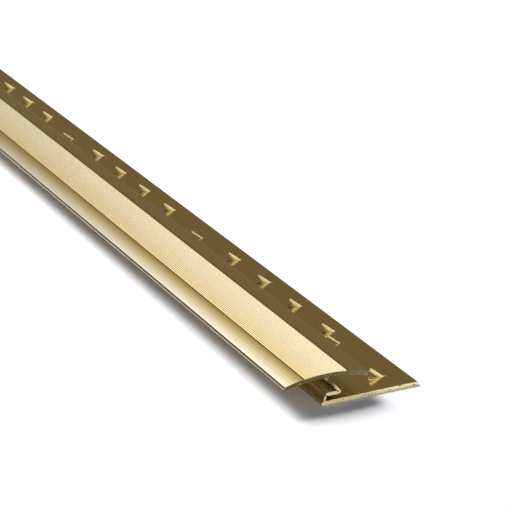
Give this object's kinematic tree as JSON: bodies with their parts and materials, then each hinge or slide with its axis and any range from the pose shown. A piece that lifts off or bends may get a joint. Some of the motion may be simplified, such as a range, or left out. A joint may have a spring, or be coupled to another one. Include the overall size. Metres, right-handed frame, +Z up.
{
  "type": "door bar",
  "caption": "Flat-based metal door bar with a hinged Z section, arched fluted cover strip and rows of raised gripper teeth, joining a carpet to a hard floor.",
  "frame": {"origin": "centre of the bar's length and width, on the floor under its base", "axes": "+Y along the bar, +X across it towards the toothed side of the base, +Z up"},
  "size_m": [0.0494, 0.9, 0.0109],
  "materials": {
    "brass": "polished base and links, satin cover with fine lengthwise lines, sawn ends"
  },
  "bodies": {
    "root": {"door_bar": "brass"}
  },
  "joints": []
}
